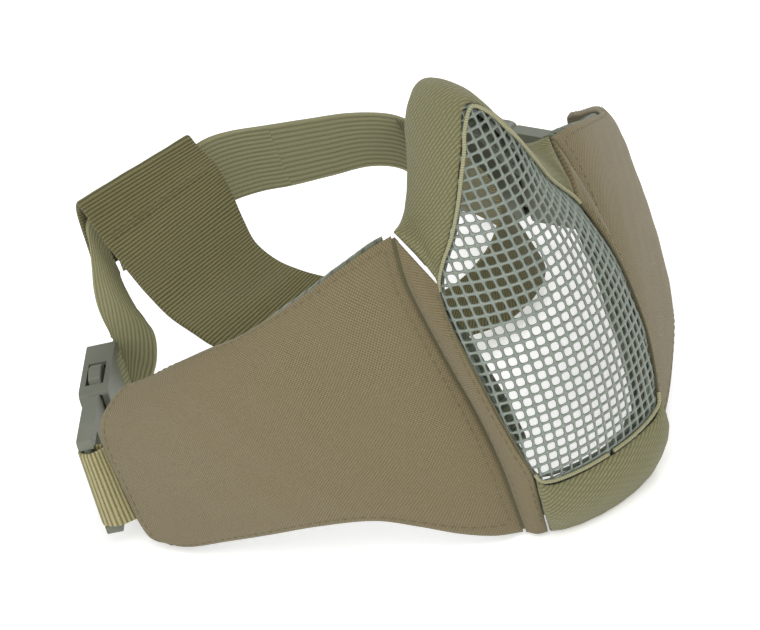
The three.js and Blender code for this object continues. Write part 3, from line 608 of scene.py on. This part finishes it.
def behind(x, z, d):
    e = 0.05
    n = np.stack([dome_y(x + e, z) - dome_y(x - e, z), np.full_like(x, -2 * e), dome_y(x, z + e) - dome_y(x, z - e)], -1)
    n /= np.linalg.norm(n, axis=-1, keepdims=True)
    return np.stack([x, dome_y(x, z), z], -1) - n * d


def edge_loop(d):
    side = [[p[0], p[2]] for p in OPEN_BOT[::-1]] + [[q[1], q[0]] for q in EDGE if 27 < q[0] < 127]
    side = np.array(side)
    side[0, 0] = 0.9
    P = behind(side[:, 0], side[:, 1], d)
    top = behind(np.array([0.0]), np.array([127.6]), d)
    Q = P[::-1].copy(); Q[:, 0] *= -1
    return np.vstack([P, top, Q])


PL = curve(edge_loop(-0.75), np.linspace(0, 1, 720))
side_part = (PL[:, 2] > 25.5) & (PL[:, 2] < 82.0)
cut = np.flatnonzero(np.diff(side_part.astype(int)))
chin_r, side_r, arch, side_l, chin_l = np.split(np.arange(len(PL)), cut + 1)
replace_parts(tube("piping_cord_nose", PL[arch], 0.55, PIPING, "front"), "opening_binding")
tube("piping_cord_chin_a", PL[chin_r], 0.55, PIPING, "front")
tube("piping_cord_chin_b", PL[chin_l], 0.55, PIPING, "front")
# thin dark cords along the mesh sides: painted shade for the gap line between mesh and strip
for nm, sl in (("edge_fold_shade_a", side_r), ("edge_fold_shade_b", side_l)):
    tube(nm, PL[sl] + np.array([0, 0.35, 0]), 0.34, SEAM_SHADE_CLOTH, "front")
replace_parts(tube("edge_wire", curve(edge_loop(2.3), np.linspace(0, 1, 300)), 0.5, WIREM, "front"), "rim_wire")

MID = (0, 60, 60)


def band_grid(inner, outer, us, ks):
    a = curve(inner, us); b = curve(outer, us)
    return a[:, None] + (b - a)[:, None] * np.asarray(ks)[None, :, None]


OPEN_TOP2, NOSE_OUT2 = both(OPEN_TOP), both(NOSE_OUT)
us, ks = spaced(150, 0.012), spaced(30, 0.11)
P = band_grid(OPEN_TOP2, NOSE_OUT2, us, 0.03 + 0.97 * ks)
K = np.broadcast_to(ks[None], P.shape[:2])
out = 1.1 + 1.9 * np.sin(math.pi * np.clip(K, 0, 1)) ** 0.8 + 0.22 * wob(P, 0.16, 3)
inn = np.where(K < 0.3, -0.1, -1.2)
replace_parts(pad("nose_pad", P, out, inn, TRIM, MID, r=2.4, body="front"), "nose_trim")
us, ks = spaced(110, 0.012), spaced(20, 0.14)
P = band_grid(OPEN_TOP2, NOSE_OUT2, 0.13 + 0.74 * us, 0.18 + 0.60 * ks)
K = np.broadcast_to(ks[None], P.shape[:2])
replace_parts(pad("nose_inner_pad", P, -1.7, -4.4 - 0.6 * np.sin(math.pi * K), LINING, MID, r=1.5, body="front", fuzz=0.12), "nose_foam", "nose_lining")

BOT2, CHIN2 = both(OPEN_BOT), both(CHIN_OUT)


def chin_grid(us, ks, sx):
    P = band_grid(BOT2, CHIN2, us, ks)
    P[..., 0] *= sx
    return P


us, ks = spaced(110, 0.02), spaced(30, 0.10)
kk = 0.045 + 0.955 * ks
P = chin_grid(0.005 + 0.99 * us, kk, 0.985)
K = np.broadcast_to(kk[None], P.shape[:2])
D = np.stack([P[..., 0] * 0.045, -np.ones(P.shape[:2]), np.full(P.shape[:2], -0.10)], -1)
D /= np.linalg.norm(D, axis=-1, keepdims=True)
out = 1.3 + 3.1 * np.sin(math.pi * np.minimum(1, K * 1.05)) + 0.2 * wob(P, 0.2, 5)
inn = np.where(K < 0.28, 0.3, -2.4 - 2.2 * K)
ch = pad("chin_pad", P, out, inn, TRIM, MID, r=1.7, body="front", N=D)
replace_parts(ch, "chin_trim")
for v in ch.data.vertices:
    if v.co.z < 0.0002:
        v.co.z = 0.0002
us, ks = spaced(70, 0.03), spaced(20, 0.14)
P = chin_grid(0.04 + 0.92 * us, 0.26 + 0.66 * ks, 0.87)
P[..., 1] += 7.2
D = np.zeros_like(P); D[..., 1] = -1
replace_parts(pad("chin_inner_pad", P, 1.6, -3.6, LINING, MID, r=1.8, body="front", fuzz=0.1, N=D), "chin_foam", "chin_lining")


# ------------------------------------------------------------------ strips and wings
def flip(P, sg):
    P = P.copy(); P[..., 0] *= sg
    return P


def coons(u, v):
    U, Vv = np.meshgrid(u, v, indexing="ij")
    c0, c1 = curve(SEAM, v)[None], curve(WING_REAR, v)[None]
    b, t = curve(WING_BOT, u)[:, None], curve(WING_TOP, u)[:, None]
    q = np.array([0.0]), np.array([1.0])
    p00, p10, p01, p11 = curve(WING_BOT, q[0])[0], curve(WING_BOT, q[1])[0], curve(WING_TOP, q[0])[0], curve(WING_TOP, q[1])[0]
    U, Vv = U[..., None], Vv[..., None]
    return (c0 * (1 - U) + c1 * U + b * (1 - Vv) + t * Vv
            - p00 * (1 - U) * (1 - Vv) - p10 * U * (1 - Vv) - p01 * (1 - U) * Vv - p11 * U * Vv)


def extend(P, N, a0, a1, b0, b1):
    """Grows the grid's rims outward by the given millimetres (u start/end, v start/end)."""
    P = P.copy()
    def unit(x):
        return x / np.maximum(1e-9, np.linalg.norm(x, axis=-1, keepdims=True))
    nu, nv = P.shape[:2]
    fu = np.linspace(0, 1, nu)[:, None, None]; fv = np.linspace(0, 1, nv)[None, :, None]
    du = unit(np.gradient(P, axis=0)); dv = unit(np.gradient(P, axis=1))
    w = lambda f: np.clip(1 - f / 0.12, 0, 1) ** 2
    return P - du * a0 * w(fu) + du * a1 * w(1 - fu) - dv * b0 * w(fv) + dv * b1 * w(1 - fv)


for side, sg in (("right", -1), ("left", 1)):
    cheek = side + "_cheek"
    ins = (sg * -20, 90, 40)
    # front strip
    vs, ux = spaced(110, 0.01), spaced(22, 0.10)
    a, b = curve(STRIP_FRONT, 0.995 * vs * 0.985 + 0.002), curve(SEAM, 0.995 * vs * 0.985 + 0.002)
    P = a[None] + (b - a)[None] * (0.03 + 0.97 * ux)[:, None, None]
    P = flip(P, sg)
    U = np.broadcast_to(ux[:, None], P.shape[:2])
    out = 1.35 + 0.9 * np.sin(math.pi * np.minimum(1, U * 1.1)) - 0.5 * U
    inn = -0.35 * U + 0.45 * (1 - U) - 0.25
    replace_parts(pad(side + "_strip_cloth", P, out, inn, TAN, (0, 60, 50), r=1.0, body="front"), side + "_front_strip")
    vs, ux = spaced(90, 0.015), spaced(18, 0.16)
    a, b = curve(STRIP_FRONT, 0.28 + 0.54 * vs), curve(SEAM, 0.28 + 0.54 * vs)
    P = flip(a[None] + (b - a)[None] * (0.22 + 0.54 * ux)[:, None, None], sg)
    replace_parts(pad(side + "_strip_inner_pad", P, -2.6, -6.3, LINING, (0, 60, 50), r=1.7, body="front", fuzz=0.1),
                side + "_strip_padding", side + "_strip_lining")
    # wing cloth
    us, vs = spaced(130, 0.018), spaced(100, 0.02)
    P = flip(coons(0.0105 + 0.9895 * us, vs), sg)
    Ug, Vg = np.meshgrid(us, vs, indexing="ij")
    N = normals(P, ins)
    soft = (np.sin(math.pi * Ug) * np.sin(math.pi * Vg)) ** 0.6
    puff = 1.5 * soft + 0.5 * wob(P, 0.055, 1.0) * soft + 0.16 * wob(P, 0.21, 6.0) * soft
    # faint draw lines that run from the rear tab into the cloth
    puff += 0.18 * np.sin(Vg * 26 + 3 * Ug) * np.exp(-((1 - Ug) / 0.10) ** 2) * soft
    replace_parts(pad(side + "_wing_cloth", P, 0.35 + puff, -1.25, TAN, ins, r=1.5, body=cheek, N=N), side + "_cheek_shell")
    us, vs = spaced(120, 0.03), spaced(90, 0.03)
    P = flip(coons(0.030 + 0.94 * us, 0.012 + 0.985 * vs), sg)
    N = normals(P, ins)
    P = extend(P, N, 0, 0, 0, 0.7)
    Ug, Vg = np.meshgrid(us, vs, indexing="ij")
    q = 0.8 * (np.sin(math.pi * Ug) * np.sin(math.pi * Vg)) ** 0.5
    thin = np.clip((Ug - 0.86) / 0.10, 0, 1)
    o2 = -1.6 - 3.6 * thin
    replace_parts(pad(side + "_wing_lining", P, o2, -7.0 - q, LINING, ins, r=2.3, body=cheek, fuzz=0.12, N=N),
                side + "_cheek_foam", side + "_cheek_lining")
    # seam web under the fold, in darker cloth that paints shade into the crease
    vs = np.linspace(0.01, 0.985, 90)
    c = curve(SEAM, vs); f = curve(STRIP_FRONT, vs); w = coons(np.array([0.03]), vs)[0]
    d0 = (f - c); d0 /= np.linalg.norm(d0, axis=1, keepdims=True)
    d1 = (w - c); d1 /= np.linalg.norm(d1, axis=1, keepdims=True)
    ks = np.linspace(-1, 1, 9)
    P = np.stack([c + (d0 * 1.6 * -min(k, 0) + d1 * 2.4 * max(k, 0)) for k in ks], 0)
    P = flip(P, sg)
    # stitches beside the fold and along the strip's front edge
    for nm, kk2, hh, bd in (("strip", 0.80, 1.75, "front"), ("strip_edge", 0.14, 1.75, "front")):
        t2 = np.linspace(0.03, 0.93, 160)
        a2, b2 = curve(STRIP_FRONT, 0.985 * t2), curve(SEAM, 0.985 * t2)
        G = np.stack([a2 + (b2 - a2) * k2 for k2 in (kk2 - 0.04, kk2, kk2 + 0.04)], 0)
        G = flip(G, sg)
        Ns = normals(G, (0, 60, 50))
        hs = 1.35 + 0.9 * math.sin(math.pi * min(1, kk2 * 1.1)) - 0.5 * kk2
        threads(side + "_" + nm + "_stitches", G[1] + Ns[1] * (hs - 0.06), Ns[1], 2.9, 1.9, 0.13, STITCH, bd, lift=0.16)
    for nm, uu, vv in (("wing_front", 0.045, None), ("wing_top", None, 0.955), ("wing_bottom", None, 0.045), ("wing_rear", 0.968, None)):
        t2 = np.linspace(0.04, 0.965, 260)
        if uu is not None:
            G = np.stack([coons(np.array([x]), t2)[0] for x in (uu - 0.006, uu, uu + 0.006)], 0)
        else:
            G = np.stack([coons(t2, np.array([x]))[:, 0] for x in (vv - 0.006, vv, vv + 0.006)], 0)
        G = flip(G, sg)
        Ns = normals(G, ins)
        uq = np.full_like(t2, uu) if uu is not None else t2
        vq = np.full_like(t2, vv) if vv is not None else t2
        sf2 = (np.sin(math.pi * uq) * np.sin(math.pi * vq)) ** 0.6
        hq = 0.35 + 1.5 * sf2 + 0.5 * wob(G[1], 0.055, 1.0) * sf2 + 0.16 * wob(G[1], 0.21, 6.0) * sf2
        threads(side + "_" + nm + "_stitches", G[1] + Ns[1] * (hq - 0.05)[:, None], Ns[1], 2.9, 1.9, 0.13, STITCH, cheek, lift=0.18)
    ob = pad(side + "_fold_shade_web", P, 0.10, -0.85, SEAM_SHADE_CLOTH, (0, 60, 50), r=0.3, body="front")


def ribbon(name, A, B, t, nu, nv, mat, body, u0=0.0, u1=1.0, r=None, wave=0.0, inside=None):
    us, vs = spaced(nu, 0.004), spaced(nv, 0.05)
    a, b = curve(A, u0 + (u1 - u0) * us), curve(B, u0 + (u1 - u0) * us)
    P = a[:, None] + (b - a)[:, None] * vs[None, :, None]
    N = normals(P, inside)
    o = wave * wob(P, 0.12, 2.0)
    if u0 > 0:
        lead = curve(A, np.linspace(0, u0, 400))
        global UV_SHIFT
        UV_SHIFT = float(np.linalg.norm(np.diff(lead, axis=0), axis=1).sum())
    return pad(name, P, t / 2 + o, -t / 2 + o, mat, inside, r=r or t * 0.5, body=body, N=N)


# Elastic runs from the front to whichever cheek its end is buckled to; these front and cheek pairs are read as way
# below but not used.
TO_RIGHT = ("front", "right_cheek", (0.006, 0.163, 0.05), (-0.054, 0.163, 0.05))
TO_LEFT = ("front", "left_cheek", (0.024, 0.165, 0.05), (0.078, 0.165, 0.05))
for nm, A, B, t, nu, nv, mat, sl, u0, u1, way, node in (
        ("nape_band_near", BAND_A, BAND_B, 1.7, 220, 40, OLIVE_AND_SHADE, "wide_elastic", 0.0, 14 / 22 + 0.00144, TO_RIGHT, "nape_band"),
        ("nape_band_far", BAND_A, BAND_B, 1.7, 120, 40, OLIVE_AND_SHADE, "wide_elastic", 14 / 22 - 0.00144, 1.0, TO_LEFT, "nape_band"),
        ("head_strap_near", RUN_A, RUN_B, 1.5, 100, 28, ELASTIC, "narrow_elastic", 0.0, 0.5039, TO_RIGHT, "head_strap"),
        ("head_strap_far", RUN_A, RUN_B, 1.5, 100, 28, ELASTIC, "narrow_elastic", 0.4961, 1.0, TO_LEFT, "head_strap"),
        ("right_strap_leg_cloth", LEG_A, LEG_B, 1.5, 110, 28, ELASTIC, "narrow_elastic", 0.0, 1.0, TO_RIGHT, "right_strap_leg")):
    ob = ribbon(nm, A, B, t, nu, nv, mat, None, u0, u1, wave=0.15 if node == "nape_band" else 0.0)
    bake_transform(ob)
    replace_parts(ob, node)


for nm, um in (("hem_stitches_a", 0.262), ("hem_stitches_b", 0.274)):
    vs = np.linspace(0.03, 0.97, 60)
    G = []
    for uq in (um - 0.003, um, um + 0.003):
        a, b = curve(BAND_A, np.array([uq])), curve(BAND_B, np.array([uq]))
        G.append(a + (b - a) * vs[:, None])
    G = np.stack(G, 0)
    Ns = normals(G, (-30, 150, 20))
    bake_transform(threads(nm, G[1] + Ns[1] * 0.86, Ns[1], 2.6, 1.7, 0.15, STITCH, None, lift=0.2))


def profile(name, C, z0, z1, t, mat, body, nv=24, skew=None):
    """Upright webbing whose plan path is the spline through C (mm)."""
    us, vs = spaced(120, 0.01), spaced(nv, 0.04)
    c = curve([[p[0], p[1], 0] for p in C], us)
    P = np.repeat(c[:, None], len(vs), 1)
    P[..., 2] = z0 + (z1 - z0) * vs[None]
    if skew is not None:
        P[..., :2] += skew(us, P[..., 2])
    N = normals(P, None)
    return pad(name, P, t / 2, -t / 2, mat, None, r=t * 0.45, body=body, N=N)


def loop_path(cx, cy, fx, fy, r, reach, e0=1.25):
    at = lambda a, c: (cx + a * fx - c * fy, cy + a * fy + c * fx)
    pts = [at(reach, 1.0), at(reach * 0.72, 1.45), at(2.4, 3.0)]
    for k in range(7):
        t = e0 + (2 * math.pi - 2 * e0) * k / 6
        pts.append(at(r * math.cos(t), r * math.sin(t)))
    return pts + [at(2.4, -3.0), at(reach * 0.72, -1.45), at(reach, -1.0)]


for side, sg, dx, dy, reach in (("right", -1, 0.91, 0.41, 6.2), ("left", 1, -1, -0.12, 5.6)):
    yaw = YAW[side]
    cx, cy = sg * TAB_BAR[0] + BAR_X * math.cos(yaw), TAB_BAR[1] + BAR_X * math.sin(yaw)
    l = math.hypot(dx, dy)
    ob = profile(side + "_strap_turn", loop_path(cx, cy, dx / l, dy / l, 3.3, reach), 10.2, 34.8, 1.25, ELASTIC, side + "_cheek")
    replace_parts(ob, side + "_strap_loop")
    # webbing tab, made from the left-hand path and reflected
    dirx, diry = 0.50, 0.866
    ix, iy = -diry, dirx
    bx, by = TAB_BAR
    r = 1.5 + 0.4 + 0.6
    rear = [[p[2], p[0], p[1]] for p in WING_REAR[1:7]]

    def line(z):
        ex, ey = table(rear, z)
        at = lambda a, c: (ex + a * dirx + c * ix, ey + a * diry + c * iy)
        rx, ry = bx - ex, by - ey
        ahead, across = rx * dirx + ry * diry, rx * ix + ry * iy
        pts = [at(-3.6, 2.6), at(-0.5, 2.6), at(ahead * 0.6, across - r * 0.55 - 0.9)]
        for k in range(7):
            t = -1.35 + 2.7 * k / 6
            pts.append(at(ahead + r * math.cos(t), across + r * math.sin(t)))
        pts += [at(ahead * 0.6, across + r * 0.55 + 0.9), at(-0.5, 4.2), at(-3.6, 4.2)]
        return pts
    z0, z1 = 9.5, 35.5
    us, vs = spaced(110, 0.01), spaced(26, 0.04)
    rows = [curve([[p[0], p[1], 0] for p in line(z0 + (z1 - z0) * v)], us) for v in vs]
    P = np.stack(rows, 1)
    P[..., 2] = z0 + (z1 - z0) * vs[None]
    P = flip(P, sg)
    N = normals(P, None)
    ob = pad(side + "_tab_webbing", P, 0.6, -0.6, TABM, None, r=0.5, body=side + "_cheek", N=N)
    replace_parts(ob, side + "_webbing_tab")


def rounded(node, body, width=0.55, seg=2):
    """Moulded copy of a buckle part: same faces, edges eased."""
    import bmesh
    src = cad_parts[node]
    bm = bmesh.new()
    bm.from_mesh(src.data)
    bmesh.ops.remove_doubles(bm, verts=bm.verts, dist=1e-6)
    bmesh.ops.dissolve_limit(bm, angle_limit=math.radians(3), verts=bm.verts, edges=bm.edges)
    sharp = [e for e in bm.edges if len(e.link_faces) == 2 and e.calc_face_angle(0) > math.radians(28)]
    bmesh.ops.bevel(bm, geom=sharp, offset=width * MM, segments=seg, profile=0.5, affect="EDGES", clamp_overlap=True)
    bmesh.ops.triangulate(bm, faces=[f for f in bm.faces if len(f.verts) > 4])
    me = bpy.data.meshes.new(node + "_moulded")
    bm.to_mesh(me); bm.free()
    me.polygons.foreach_set("use_smooth", [True] * len(me.polygons))
    ob = bpy.data.objects.new(node + "_moulded", me)
    bpy.context.scene.collection.objects.link(ob)
    me.materials.clear(); me.materials.append(PLASTIC)
    md = ob.modifiers.new("wn", "WEIGHTED_NORMAL")
    md.keep_sharp = True
    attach(ob, body)
    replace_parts(ob, node)
    return ob


for side in ("right", "left"):
    rounded(side + "_buckle_plug", side + "_cheek")
    rounded(side + "_buckle_socket", side + "_cheek", 0.7)
    rounded(side + "_upper_prong", side + "_upper_prong", 0.4)
    rounded(side + "_lower_prong", side + "_lower_prong", 0.4)

# ------------------------------------------------------------------ stage
me = bpy.data.meshes.new("floor")
s = 6.0
me.from_pydata([(-s, -s, -0.0002), (s, -s, -0.0002), (s, s, -0.0002), (-s, s, -0.0002)], [], [(0, 1, 2, 3)])
floor = bpy.data.objects.new("floor", me)
bpy.context.scene.collection.objects.link(floor)
fm = bpy.data.materials.new("floor"); fm.use_nodes = True
b = fm.node_tree.nodes["Principled BSDF"]
b.inputs["Base Color"].default_value = (0.86, 0.86, 0.85, 1)
b.inputs["Roughness"].default_value = 0.9
b.inputs["Specular IOR Level"].default_value = 0.0
b.inputs["Emission Color"].default_value = (1, 1, 1, 1)
b.inputs["Emission Strength"].default_value = 0.42
me.materials.append(fm)

w = bpy.data.worlds.new("studio"); bpy.context.scene.world = w; w.use_nodes = True
nt = w.node_tree
bg = nt.nodes["Background"]
lp = nt.nodes.new("ShaderNodeLightPath")
mx = nt.nodes.new("ShaderNodeMix"); mx.data_type = "FLOAT"
nt.links.new(lp.outputs["Is Camera Ray"], mx.inputs[0])
mx.inputs[2].default_value = 0.55; mx.inputs[3].default_value = 1.0
nt.links.new(mx.outputs[0], bg.inputs["Strength"])
bg.inputs["Color"].default_value = (1, 1, 1, 1)


def area(name, loc, size, power, target=(0, 0.06, 0.05)):
    l = bpy.data.lights.new(name, "AREA"); l.shape = "RECTANGLE"; l.size = size; l.size_y = size; l.energy = power
    o = bpy.data.objects.new(name, l); bpy.context.scene.collection.objects.link(o)
    o.location = loc
    d = Vector(target) - Vector(loc)
    o.rotation_euler = d.to_track_quat("-Z", "Y").to_euler()
    return o


area("key", (-0.35, -0.75, 1.25), 0.9, 9.5)
area("fill", (-1.1, -0.1, 0.75), 1.0, 4.0)
area("back", (0.9, 0.5, 1.1), 0.8, 6.0)

# ------------------------------------------------------------------ camera
az, el, roll, dist, focal = math.radians(-29.62), math.radians(28.83), math.radians(-16.71), 1.23051, 4029.39
Bv = Vector((math.sin(az) * math.cos(el), -math.cos(az) * math.cos(el), math.sin(el)))
R0 = Vector((math.cos(az), math.sin(az), 0.0)); U0 = Bv.cross(R0)
Rv = math.cos(roll) * R0 + math.sin(roll) * U0
Uv = -math.sin(roll) * R0 + math.cos(roll) * U0
T = Vector((0.0065, 0.10918, 0.02689))
O = T + dist * Bv
cd = bpy.data.cameras.new("camera"); cam = bpy.data.objects.new("camera", cd)
bpy.context.scene.collection.objects.link(cam)
cam.matrix_world = Matrix(((Rv.x, Uv.x, Bv.x, O.x), (Rv.y, Uv.y, Bv.y, O.y), (Rv.z, Uv.z, Bv.z, O.z), (0, 0, 0, 1)))
cd.sensor_fit = "HORIZONTAL"; cd.sensor_width = 36.0; cd.lens = 36.0 * focal / 760.0
cd.clip_start = 0.05; cd.clip_end = 30.0
bpy.context.scene.camera = cam
bpy.context.scene.view_settings.view_transform = "Standard"
